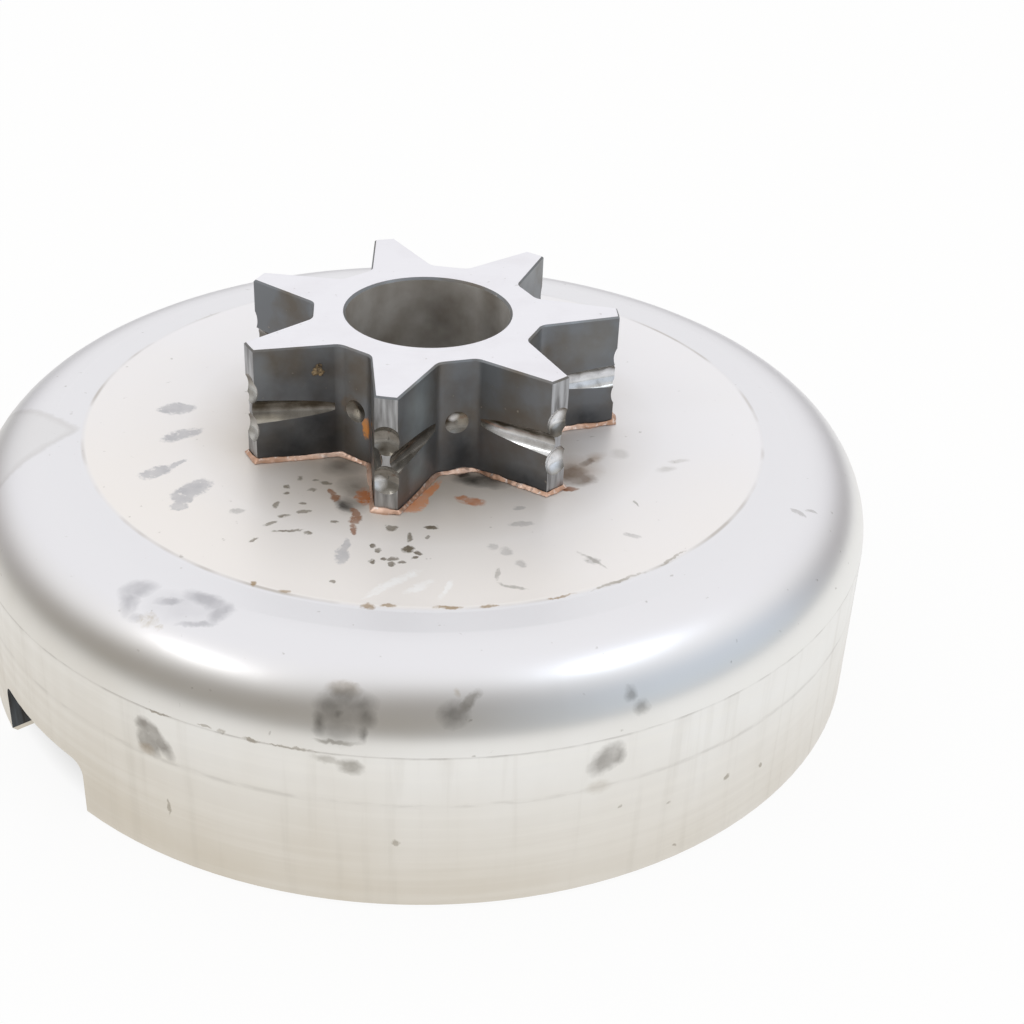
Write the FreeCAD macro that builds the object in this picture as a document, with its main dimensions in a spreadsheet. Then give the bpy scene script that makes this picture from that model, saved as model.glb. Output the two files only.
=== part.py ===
import FreeCAD, Part
import math
import os
import Sketcher

# Chainsaw clutch drum with a brazed seven-tooth spur sprocket, in millimetres.
# The drum stands on its open rim: z = 0 is the rim plane, +Z is the drum's axis and the sprocket
# is on top. The sprocket's first gullet is drawn along +X, and its body is then turned.

doc = FreeCAD.newDocument("clutch_drum_with_sprocket")

# Driving sizes

drivingSizes = [
    # drum
    ("drum_diameter", 78.0, "outside of the turned wall"),
    ("drum_height", 20.6, "rim to the raised face"),
    ("wall_thickness", 2.5, "turned wall"),
    ("floor_thickness", 2.5, "drawn floor, at the raised disc"),
    ("corner_radius", 6.6, "outside corner of the drawn cup"),
    ("disc_diameter", 58.4, "raised disc pressed into the face"),
    ("disc_height", 0.05, "how far the disc stands proud"),
    ("disc_slope", 0.7, "run of the slope round the disc"),
    ("rim_chamfer", 0.4, "both edges of the rim"),
    ("turned_line_drop", 6.2, "end of the turning, below the face"),
    ("turned_line_depth", 0.03, "fine groove where the turning ends"),
    ("turned_line_width", 0.26, "the same groove, at the surface"),
    ("notch_turn", -52.0, "rim notch, degrees from the front, left negative"),
    ("notch_width", 13.0, "across the notch"),
    ("notch_depth", 5.1, "up from the rim"),
    ("notch_corner", 1.2, "rounding of the notch's upper corners"),
    # sprocket
    ("tooth_count", 7, "teeth, and gullets between them"),
    ("tip_diameter", 32.66, "over the tooth tips"),
    ("root_diameter", 19.6, "twice the axis to a gullet floor"),
    ("root_width", 3.2, "floor of a gullet, if its corners were sharp"),
    ("root_corner", 1.0, "rounding between floor and flank"),
    ("flank_angle", 41.2, "flank to the gullet's centre line, degrees"),
    ("sprocket_height", 10.3, "teeth above the drum's face"),
    ("sprocket_turn", 27.54, "first gullet from +X, degrees"),
    ("edge_break", 0.15, "broken edge round the top of the teeth"),
    ("bore_diameter", 14.0, "a needle cage runs in it"),
    ("bore_chamfer", 0.2, "both ends of the bore"),
    ("spigot_diameter", 18.0, "part that sits in the drum's floor"),
    ("braze_gap", 0.05, "spigot to hole, each side"),
    ("cutter_overrun", 1.5, "how far a cut runs past the teeth"),
    # chain wear on the teeth
    ("track_height", 4.7, "middle of the chain's track, above the face"),
    ("strap_spacing", 3.5, "between the two side straps' dents"),
    ("strap_width", 2.6, "dent across, at the tooth tip"),
    ("strap_depth", 0.6, "the same dent, into the tip"),
    ("link_radius", 1.25, "section of a drive link's groove"),
    ("link_depth", 0.6, "the same groove, into the flank at the tip"),
    ("link_start", 0.45, "start of the groove, from the gullet's corner"),
    ("dimple_width", 2.0, "drive link's mark on a gullet floor"),
    ("dimple_depth", 0.2, "the same mark, into the floor"),
    # braze
    ("braze_width", 0.48, "fillet out over the face"),
    ("braze_height", 0.4, "fillet up the teeth"),
    ("braze_land", 0.08, "thickness of the fillet's upper edge"),
]

sheet = doc.addObject("Spreadsheet::Sheet", "sizes")
for row, (alias, number, meaning) in enumerate(drivingSizes, start=1):
    sheet.set(f"A{row}", alias)
    sheet.set(f"B{row}", str(number))
    sheet.set(f"C{row}", meaning)
    sheet.setAlias(f"B{row}", alias)
doc.recompute()


class Size:
    # A number together with the sheet expression that yields it, so a place is written once.

    def __init__(self, number, text):
        self.number = float(number)
        self.text = text

    def __add__(self, other):
        other = asSize(other)
        return Size(self.number + other.number, f"({self.text} + {other.text})")

    def __sub__(self, other):
        other = asSize(other)
        return Size(self.number - other.number, f"({self.text} - {other.text})")

    def __mul__(self, other):
        other = asSize(other)
        return Size(self.number * other.number, f"({self.text} * {other.text})")

    def __truediv__(self, other):
        other = asSize(other)
        return Size(self.number / other.number, f"({self.text} / {other.text})")

    def __neg__(self):
        return self * -1


def asSize(value):
    return value if isinstance(value, Size) else Size(value, f"({value})")


def cell(alias):
    return Size(getattr(sheet, alias), f"sizes.{alias}")


def cosine(angle):
    return Size(math.cos(math.radians(angle.number)), f"cos({angle.text})")


def sine(angle):
    return Size(math.sin(math.radians(angle.number)), f"sin({angle.text})")


def tangent(angle):
    return Size(math.tan(math.radians(angle.number)), f"tan({angle.text})")


def arcSine(value):
    return Size(math.degrees(math.asin(value.number)), f"(asin({value.text}) / 1 deg)")


def squareRoot(value):
    return Size(math.sqrt(value.number), f"sqrt({value.text})")


def arcRadius(width, depth):
    # Radius of the arc that is this wide where it is this deep.
    return (width * width / 4 + depth * depth) / (depth * 2)


origin = asSize(0)
drumRadius = cell("drum_diameter") / 2
drumHeight = cell("drum_height")
wall = cell("wall_thickness")
floorInside = drumHeight - cell("floor_thickness")
tipRadius = cell("tip_diameter") / 2
root = cell("root_diameter") / 2
halfRoot = cell("root_width") / 2
flank = cell("flank_angle")
track = cell("track_height")
boreRadius = cell("bore_diameter") / 2
spigotRadius = cell("spigot_diameter") / 2


# Sketches and features

def bind(target, path, size):
    target.setExpression(path, size.text)


def newBody(name, height=None):
    body = doc.addObject("PartDesign::Body", name)
    body.Label = name
    if height:
        turn = cell("sprocket_turn")
        body.Placement = FreeCAD.Placement(
            FreeCAD.Vector(0, 0, height.number),
            FreeCAD.Rotation(FreeCAD.Vector(0, 0, 1), turn.number))
        bind(body, "Placement.Base.z", height)
        bind(body, "Placement.Rotation.Angle", turn)
    return body


def originFeature(body, role):
    return next(item for item in body.Origin.OriginFeatures if item.Role == role)


def newSketch(body, name, plane, shift=(origin, origin, origin), turn=origin, turnAxis=(0, 0, 1)):
    sketch = body.newObject("Sketcher::SketchObject", name)
    sketch.AttachmentSupport = [(originFeature(body, plane), "")]
    sketch.MapMode = "FlatFace"
    sketch.AttachmentOffset = FreeCAD.Placement(
        FreeCAD.Vector(*(size.number for size in shift)),
        FreeCAD.Rotation(FreeCAD.Vector(*turnAxis), turn.number))
    for letter, size in zip("xyz", shift):
        bind(sketch, f"AttachmentOffset.Base.{letter}", size)
    if turn is not origin:
        bind(sketch, "AttachmentOffset.Rotation.Angle", turn)
    return sketch


def pin(sketch, edge, end, name, place):
    # Ties one end of an edge, or a circle's centre, to its place from the sketch's origin.
    for letter, size in zip("XY", place):
        index = sketch.addConstraint(
            Sketcher.Constraint(f"Distance{letter}", -1, 1, edge, end, size.number))
        sketch.renameConstraint(index, f"{name}{letter}")
        bind(sketch, f"Constraints.{name}{letter}", size)


def pinRadius(sketch, edge, name, radius):
    index = sketch.addConstraint(Sketcher.Constraint("Radius", edge, radius.number))
    sketch.renameConstraint(index, f"{name}Radius")
    bind(sketch, f"Constraints.{name}Radius", radius)


def point(place):
    return FreeCAD.Vector(place[0].number, place[1].number, 0)


def arcBetween(start, end, centre):
    # The shorter arc, and which of its ends, 1 or 2, lies at start and at end.
    spoke = point(start) - point(centre)
    other = point(end) - point(centre)
    angles = [math.atan2(spoke.y, spoke.x), math.atan2(other.y, other.x)]
    forward = (angles[1] - angles[0]) % (2 * math.pi) < math.pi
    circle = Part.Circle(point(centre), FreeCAD.Vector(0, 0, 1), spoke.Length)
    if forward:
        return Part.ArcOfCircle(circle, angles[0], angles[1]), (1, 2)
    return Part.ArcOfCircle(circle, angles[1], angles[0]), (2, 1)


def drawOutline(sketch, corners):
    # corners: (name, place) or (name, place, arc centre, arc radius) for the edge that follows it.
    ends = []
    for index, (name, place, *arc) in enumerate(corners):
        following = corners[(index + 1) % len(corners)][1]
        if arc:
            shape, order = arcBetween(place, following, arc[0])
        else:
            shape, order = Part.LineSegment(point(place), point(following)), (1, 2)
        edge = sketch.addGeometry(shape, False)
        ends.append((edge, order))
    for index, (name, place, *arc) in enumerate(corners):
        edge, order = ends[index]
        nextEdge, nextOrder = ends[(index + 1) % len(corners)]
        sketch.addConstraint(Sketcher.Constraint("Coincident", edge, order[1], nextEdge, nextOrder[0]))
        pin(sketch, edge, order[0], name, place)
        if arc:
            pinRadius(sketch, edge, name, arc[1])


def drawAxis(sketch, start, end):
    # A construction line to turn the profile about.
    edge = sketch.addGeometry(Part.LineSegment(point(start), point(end)), True)
    pin(sketch, edge, 1, "axisStart", start)
    pin(sketch, edge, 2, "axisEnd", end)


def turned(body, kind, name, sketch, axis):
    feature = body.newObject(f"PartDesign::{kind}", name)
    feature.Profile = sketch
    feature.ReferenceAxis = (sketch, [axis])
    feature.Angle = 360
    return feature


def roundTheAxis(body, name, features):
    pattern = body.newObject("PartDesign::PolarPattern", name)
    pattern.Originals = features
    pattern.Axis = (originFeature(body, "Z_Axis"), [""])
    pattern.Angle = 360
    pattern.Occurrences = int(sheet.tooth_count)
    bind(pattern, "Occurrences", cell("tooth_count"))
    body.Tip = pattern
    return pattern


# Drum: a drawn and turned cup, open side down

def makeDrum():
    body = newBody("clutch_drum")
    hole = spigotRadius + cell("braze_gap")
    disc = cell("disc_diameter") / 2
    shoulder = drumHeight - cell("disc_height")
    corner = cell("corner_radius")
    innerCorner = corner - wall
    chamfer = cell("rim_chamfer")
    inside = drumRadius - wall

    section = newSketch(body, "drum_section", "XZ_Plane")
    drawOutline(section, [
        ("holeBottom", (hole, floorInside)),
        ("holeTop", (hole, drumHeight)),
        ("discEdge", (disc, drumHeight)),
        ("discFoot", (disc + cell("disc_slope"), shoulder)),
        ("cornerTop", (drumRadius - corner, shoulder), (drumRadius - corner, shoulder - corner), corner),
        ("cornerFoot", (drumRadius, shoulder - corner)),
        ("rimOutside", (drumRadius, chamfer)),
        ("rimOuterEdge", (drumRadius - chamfer, origin)),
        ("rimInnerEdge", (inside + chamfer, origin)),
        ("rimInside", (inside, chamfer)),
        ("wallTop", (inside, floorInside - innerCorner),
         (inside - innerCorner, floorInside - innerCorner), innerCorner),
        ("floorEdge", (inside - innerCorner, floorInside)),
    ])
    turned(body, "Revolution", "drawn_cup", section, "V_Axis")

    lineHeight = drumHeight - cell("turned_line_drop")
    halfLine = cell("turned_line_width") / 2
    lineDepth = cell("turned_line_depth")
    lineSketch = newSketch(body, "turned_line_section", "XZ_Plane")
    drawOutline(lineSketch, [
        ("lineBottom", (drumRadius - lineDepth, lineHeight)),
        ("lineUpper", (drumRadius + lineDepth, lineHeight + halfLine * 2)),
        ("lineLower", (drumRadius + lineDepth, lineHeight - halfLine * 2)),
    ])
    turned(body, "Groove", "turned_line", lineSketch, "V_Axis")

    halfNotch = cell("notch_width") / 2
    notchTop = cell("notch_depth")
    notchCorner = cell("notch_corner")
    notchSketch = newSketch(body, "notch_outline", "XZ_Plane", turn=cell("notch_turn"), turnAxis=(0, 1, 0))
    cornerHeight = notchTop - notchCorner
    drawOutline(notchSketch, [
        ("leftFoot", (-halfNotch, -notchCorner)),
        ("rightFoot", (halfNotch, -notchCorner)),
        ("rightSide", (halfNotch, cornerHeight), (halfNotch - notchCorner, cornerHeight), notchCorner),
        ("rightTop", (halfNotch - notchCorner, notchTop)),
        ("leftTop", (notchCorner - halfNotch, notchTop), (notchCorner - halfNotch, cornerHeight), notchCorner),
        ("leftSide", (-halfNotch, cornerHeight)),
    ])
    notch = body.newObject("PartDesign::Pocket", "rim_notch")
    notch.Profile = notchSketch
    notch.Reversed = True
    bind(notch, "Length", cell("drum_diameter"))
    doc.recompute()
    return body


# Sprocket: a turned blank with milled gullets, then worn by the chain

def makeGullet(body, name, height, inset):
    # One gullet's outline, drawn along +X, narrowed all round by the inset.
    floorLine = root + inset
    halfFloor = halfRoot - inset * (asSize(1) - sine(flank)) / cosine(flank)
    corner = cell("root_corner") - inset
    reach = corner * tangent((asSize(90) - flank) / 2)
    mouth = tipRadius + cell("cutter_overrun")
    halfMouth = halfFloor + (mouth - floorLine) * tangent(flank)
    flat = halfFloor - reach
    flankStart = floorLine + reach * cosine(flank)
    halfStart = halfFloor + reach * sine(flank)
    sketch = newSketch(body, name, "XY_Plane", shift=(origin, origin, height))
    drawOutline(sketch, [
        ("floorRight", (floorLine, -flat)),
        ("floorLeft", (floorLine, flat), (floorLine + corner, flat), corner),
        ("flankLeft", (flankStart, halfStart)),
        ("mouthLeft", (mouth, halfMouth)),
        ("mouthRight", (mouth, -halfMouth)),
        ("flankRight", (flankStart, -halfStart), (floorLine + corner, -flat), corner),
    ])
    return sketch


def makeBlank(body):
    top = cell("sprocket_height")
    chamfer = cell("bore_chamfer")
    foot = -cell("floor_thickness")
    section = newSketch(body, "blank_section", "XZ_Plane")
    drawOutline(section, [
        ("boreFoot", (boreRadius, foot + chamfer)),
        ("boreTop", (boreRadius, top - chamfer)),
        ("boreMouth", (boreRadius + chamfer, top)),
        ("tipTop", (tipRadius, top)),
        ("tipFoot", (tipRadius, origin)),
        ("seat", (spigotRadius, origin)),
        ("spigotFoot", (spigotRadius, foot)),
        ("boreLead", (boreRadius + chamfer, foot)),
    ])
    turned(body, "Revolution", "turned_blank", section, "V_Axis")


def wearFlank(body, name, side):
    # A round groove along the flank that deepens and widens to the tip, where the drive links bear.
    alongCorner = root * cosine(flank) + halfRoot * sine(flank)
    cornerSquare = root * root + halfRoot * halfRoot
    flankLength = squareRoot(alongCorner * alongCorner - cornerSquare + tipRadius * tipRadius) - alongCorner
    depth = cell("link_depth")
    tilt = arcSine(depth / flankLength)
    start = cell("link_start")
    end = flankLength + depth
    axisLine = cell("link_radius") * -side
    sketch = newSketch(body, f"{name}_section", "XY_Plane",
                       shift=(root, halfRoot * side, track), turn=(flank + tilt) * side)
    drawAxis(sketch, (start, axisLine), (end, axisLine))
    drawOutline(sketch, [
        ("startAxis", (start, axisLine)),
        ("endAxis", (end, axisLine)),
        ("endEdge", (end, origin)),
        ("startEdge", (start, origin)),
    ])
    return turned(body, "Groove", name, sketch, "Axis0")


def wearDent(body, name, surface, height, mark, turn=origin):
    # A round dent where the chain knocks: a gullet floor for the drive links, a tip for the side straps.
    depth = cell(f"{mark}_depth")
    radius = arcRadius(cell(f"{mark}_width"), depth)
    deepest = surface - depth
    middle = (deepest + radius, height)
    sketch = newSketch(body, f"{name}_section", "XZ_Plane", turn=turn, turnAxis=(0, 1, 0))
    drawAxis(sketch, (deepest, height), middle)
    drawOutline(sketch, [
        ("deepest", (deepest, height), middle, radius),
        ("side", (deepest + radius, height + radius)),
        ("middle", middle),
    ])
    return turned(body, "Groove", name, sketch, "Axis0")


def breakTopEdges(body):
    top = cell("sprocket_height").number
    base = body.Tip
    names = []
    for index, edge in enumerate(base.Shape.Edges, start=1):
        box = edge.BoundBox
        reach = min(math.hypot(vertex.X, vertex.Y) for vertex in edge.Vertexes)
        onTop = abs(box.ZMin - top) < 1e-6 and abs(box.ZMax - top) < 1e-6
        if onTop and reach > spigotRadius.number:
            names.append(f"Edge{index}")
    chamfer = body.newObject("PartDesign::Chamfer", "top_edge_break")
    chamfer.Base = (base, names)
    bind(chamfer, "Size", cell("edge_break"))
    body.Tip = chamfer


def makeSprocket():
    body = newBody("drive_sprocket", drumHeight)
    makeBlank(body)
    outline = makeGullet(body, "gullet_outline", cell("sprocket_height"), origin)
    gullet = body.newObject("PartDesign::Pocket", "gullet")
    gullet.Profile = outline
    bind(gullet, "Length", cell("sprocket_height"))
    toothMiddle = asSize(180) / cell("tooth_count")
    halfSpacing = cell("strap_spacing") / 2
    roundTheAxis(body, "seven_gullets", [
        gullet,
        wearFlank(body, "left_link_groove", 1),
        wearFlank(body, "right_link_groove", -1),
        wearDent(body, "link_dimple", root, track, "dimple"),
        wearDent(body, "upper_strap_dent", tipRadius, track + halfSpacing, "strap", toothMiddle),
        wearDent(body, "lower_strap_dent", tipRadius, track - halfSpacing, "strap", toothMiddle),
    ])
    doc.recompute()
    breakTopEdges(body)
    doc.recompute()
    return body


# Braze: a sloped fillet round the foot of the teeth

def makeBraze(sprocket):
    ring = newBody("braze_ring", drumHeight)
    width = cell("braze_width")
    height = cell("braze_height")
    land = cell("braze_land")
    section = newSketch(ring, "ring_section", "XZ_Plane")
    drawOutline(section, [
        ("innerFoot", (spigotRadius, origin)),
        ("outerFoot", (tipRadius + width, origin)),
        ("outerTop", (tipRadius + land, height)),
        ("innerTop", (spigotRadius, height)),
    ])
    turned(ring, "Revolution", "ring", section, "V_Axis")
    foot = makeGullet(ring, "braze_foot", origin, width)
    edge = makeGullet(ring, "braze_edge", height, land)
    hollow = ring.newObject("PartDesign::SubtractiveLoft", "braze_hollow")
    hollow.Profile = foot
    hollow.Sections = [edge]
    hollow.Ruled = True
    roundTheAxis(ring, "braze_hollows", [hollow])

    fillet = doc.addObject("Part::Cut", "braze_fillet")
    fillet.Label = "braze_fillet"
    fillet.Base = ring
    fillet.Tool = sprocket
    doc.recompute()
    return fillet


drum = makeDrum()
sprocket = makeSprocket()
braze = makeBraze(sprocket)
doc.recompute()

# Checks, then the parts

failed = [item.Label for item in doc.Objects if {"Invalid", "Error"} & set(item.State)]
if failed:
    raise RuntimeError(f"failed to build: {failed}")
for piece in (drum, sprocket, braze):
    if piece.Shape.isNull() or not piece.Shape.isValid():
        raise RuntimeError(f"no valid shape: {piece.Label}")

os.makedirs("parts", exist_ok=True)
for piece in (drum, sprocket, braze):
    piece.Shape.exportStep(f"parts/{piece.Label}.step")
    box = piece.Shape.BoundBox
    print(f"{piece.Label}: {piece.Shape.Volume:.1f} mm3, {len(piece.Shape.Solids)} solid, "
          f"z {box.ZMin:.2f} to {box.ZMax:.2f}, {len(piece.Shape.Faces)} faces")
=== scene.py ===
import bpy
import math
import random
from mathutils import Matrix, Vector, noise


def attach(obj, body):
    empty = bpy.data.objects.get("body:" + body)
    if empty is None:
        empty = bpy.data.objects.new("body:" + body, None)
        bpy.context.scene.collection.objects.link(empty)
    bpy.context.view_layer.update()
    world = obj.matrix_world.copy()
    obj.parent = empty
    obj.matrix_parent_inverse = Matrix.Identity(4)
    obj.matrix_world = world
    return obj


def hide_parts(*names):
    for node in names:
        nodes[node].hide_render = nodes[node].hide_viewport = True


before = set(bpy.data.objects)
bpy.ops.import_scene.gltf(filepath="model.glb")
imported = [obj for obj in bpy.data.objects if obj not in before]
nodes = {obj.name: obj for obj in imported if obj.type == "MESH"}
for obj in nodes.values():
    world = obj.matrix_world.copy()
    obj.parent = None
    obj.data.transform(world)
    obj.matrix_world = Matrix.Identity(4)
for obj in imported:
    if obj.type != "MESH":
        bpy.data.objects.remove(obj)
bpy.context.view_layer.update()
scene = bpy.context.scene
mm = 0.001  # one millimetre in Blender's metres
print("frame loaded:", ", ".join(sorted(nodes)))


# Helpers

def linear(hexColour):
    # sRGB hex to the linear colour that the shaders take
    shares = [int(hexColour[i:i + 2], 16) / 255 for i in (1, 3, 5)]
    return tuple(s / 12.92 if s <= 0.04045 else ((s + 0.055) / 1.055) ** 2.4 for s in shares) + (1.0,)


def fillSockets(tree, node, sockets):
    # a socket takes a plain value, an output, or a node, which stands for its first output
    for key, value in sockets.items():
        if isinstance(value, bpy.types.Node):
            value = value.outputs[0]
        if isinstance(value, bpy.types.NodeSocket):
            tree.links.new(value, node.inputs[key])
        else:
            node.inputs[key].default_value = value


def addNode(tree, kind, sockets=None, **settings):
    # one node: settings are its own choices, sockets are what goes into it
    node = tree.nodes.new(kind)
    for name, value in settings.items():
        setattr(node, name, value)
    fillSockets(tree, node, sockets or {})
    return node


def placeInMm(tree):
    # the part's own coordinates
    metres = addNode(tree, "ShaderNodeTexCoord").outputs["Object"]
    return addNode(tree, "ShaderNodeVectorMath", {0: metres, "Scale": 1 / mm}, operation="SCALE").outputs[0]


def newMaterial(name, metallic, roughness):
    # a bare shader with typical values, which a pattern may take over later
    material = bpy.data.materials.new(name)
    material.use_nodes = True
    tree = material.node_tree
    tree.nodes.clear()
    shader = addNode(tree, "ShaderNodeBsdfPrincipled", {"Metallic": metallic, "Roughness": roughness})
    addNode(tree, "ShaderNodeOutputMaterial", {"Surface": shader})
    return material, tree, shader, placeInMm(tree)


def distanceFromAxis(tree, place):
    flat = addNode(tree, "ShaderNodeVectorMath", {0: place, 1: (1, 1, 0)}, operation="MULTIPLY")
    return addNode(tree, "ShaderNodeVectorMath", {0: flat}, operation="LENGTH").outputs["Value"]


def wander(tree, place, size, reach):
    # coordinates pushed about, so that a mark's edge is ragged
    cloud = addNode(tree, "ShaderNodeTexNoise", {"Vector": place, "Scale": 1 / size, "Detail": 3.0})
    centred = addNode(tree, "ShaderNodeVectorMath", {0: cloud.outputs["Color"], 1: (0.5, 0.5, 0.5)},
                      operation="SUBTRACT")
    pushed = addNode(tree, "ShaderNodeVectorMath", {0: centred, "Scale": 2 * reach}, operation="SCALE")
    return addNode(tree, "ShaderNodeVectorMath", {0: place, 1: pushed}, operation="ADD").outputs[0]


def drawMarks(tree, place, where, marks):
    # the strongest mark at each point: 1 in a mark's middle, 0 from its edge on
    strongest = None
    for mark in marks:
        if where == "face":      # x and y in mm, width, height, tilt in degrees
            x, y, width, height, tilt = mark
            centre = (x, y, drum["faceHeight"])
            size = (width / 2, height / 2, drum["faceMarkReach"])
            angles = (0.0, 0.0, math.radians(tilt))
        elif where == "tooth":   # x, y and z in mm, across, height
            x, y, z, across, height = mark
            centre = (x, y, z)
            size = (across / 2, across / 2, height / 2)
            angles = (0.0, 0.0, 0.0)
        else:                    # degrees from the front, right positive, and mm below the face
            degrees, drop, width, height, tilt = mark
            turn = math.radians(degrees)
            fromFoot = max(0.0, drum["cornerDrop"] - drop)
            radius = drum["radius"] - fromFoot ** 2 / (2 * drum["cornerDrop"])
            centre = (radius * math.sin(turn), -radius * math.cos(turn), drum["faceHeight"] - drop)
            size = (width / 2, width / 2, height / 2)
            angles = (0.0, math.radians(tilt), turn)
        local = addNode(tree, "ShaderNodeMapping",
                        {"Vector": place, "Location": centre, "Rotation": angles, "Scale": size},
                        vector_type="TEXTURE")
        ball = addNode(tree, "ShaderNodeTexGradient", {"Vector": local}, gradient_type="SPHERICAL").outputs[1]
        if strongest:
            ball = addNode(tree, "ShaderNodeMath", {0: strongest, 1: ball}, operation="MAXIMUM").outputs[0]
        strongest = ball
    return strongest


film = {
    "crustSize": 0.8,          # mm, as are the next two
    "fleckSize": 0.3,
    "mottleSize": 1.7,
    "edge": 0.08,              # strength at which a film starts to cover
    "thickUpTo": 0.5,          # films that are full at a higher strength are thin
}


def layFilmsAndPaintedLight(tree, place, where, filmsAndLight, colour):
    # dried films, and painted light and shade, over a colour; thick ones break up at their edges, thin ones
    # fade out
    crust = addNode(tree, "ShaderNodeTexNoise",
                    {"Vector": place, "Scale": 1 / film["crustSize"], "Detail": 5.0, "Roughness": 0.65})
    coarse = addNode(tree, "ShaderNodeMapRange",
                     {"Value": crust, "From Min": 0.3, "From Max": 0.7, "To Min": 0.4, "To Max": 1.6})
    flecks = addNode(tree, "ShaderNodeTexNoise",
                     {"Vector": place, "Scale": 1 / film["fleckSize"], "Detail": 2.0})
    fine = addNode(tree, "ShaderNodeMapRange",
                   {"Value": flecks, "From Min": 0.3, "From Max": 0.7, "To Min": 0.5, "To Max": 1.5})
    ragged = addNode(tree, "ShaderNodeMath", {0: coarse, 1: fine}, operation="MULTIPLY")
    mottle = addNode(tree, "ShaderNodeTexNoise",
                     {"Vector": place, "Scale": 1 / film["mottleSize"], "Detail": 4.0})
    mottled = addNode(tree, "ShaderNodeMapRange",
                      {"Value": mottle, "From Min": 0.3, "From Max": 0.65, "To Min": 0.6, "To Max": 1.0})
    for tone, share, full, marks in filmsAndLight:
        strength = drawMarks(tree, place, where, marks)
        if full <= film["thickUpTo"]:
            strength = addNode(tree, "ShaderNodeMath", {0: strength, 1: ragged}, operation="MULTIPLY")
        cover = addNode(tree, "ShaderNodeMapRange",
                        {"Value": strength, "From Min": film["edge"], "From Max": full, "To Max": share})
        cover = addNode(tree, "ShaderNodeMath", {0: cover, 1: mottled}, operation="MULTIPLY")
        tones = {0: cover, 6: colour, 7: linear(tone)}
        colour = addNode(tree, "ShaderNodeMix", tones, data_type="RGBA").outputs[2]
    return colour


# Drum: drawn steel cup, turned outside

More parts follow.
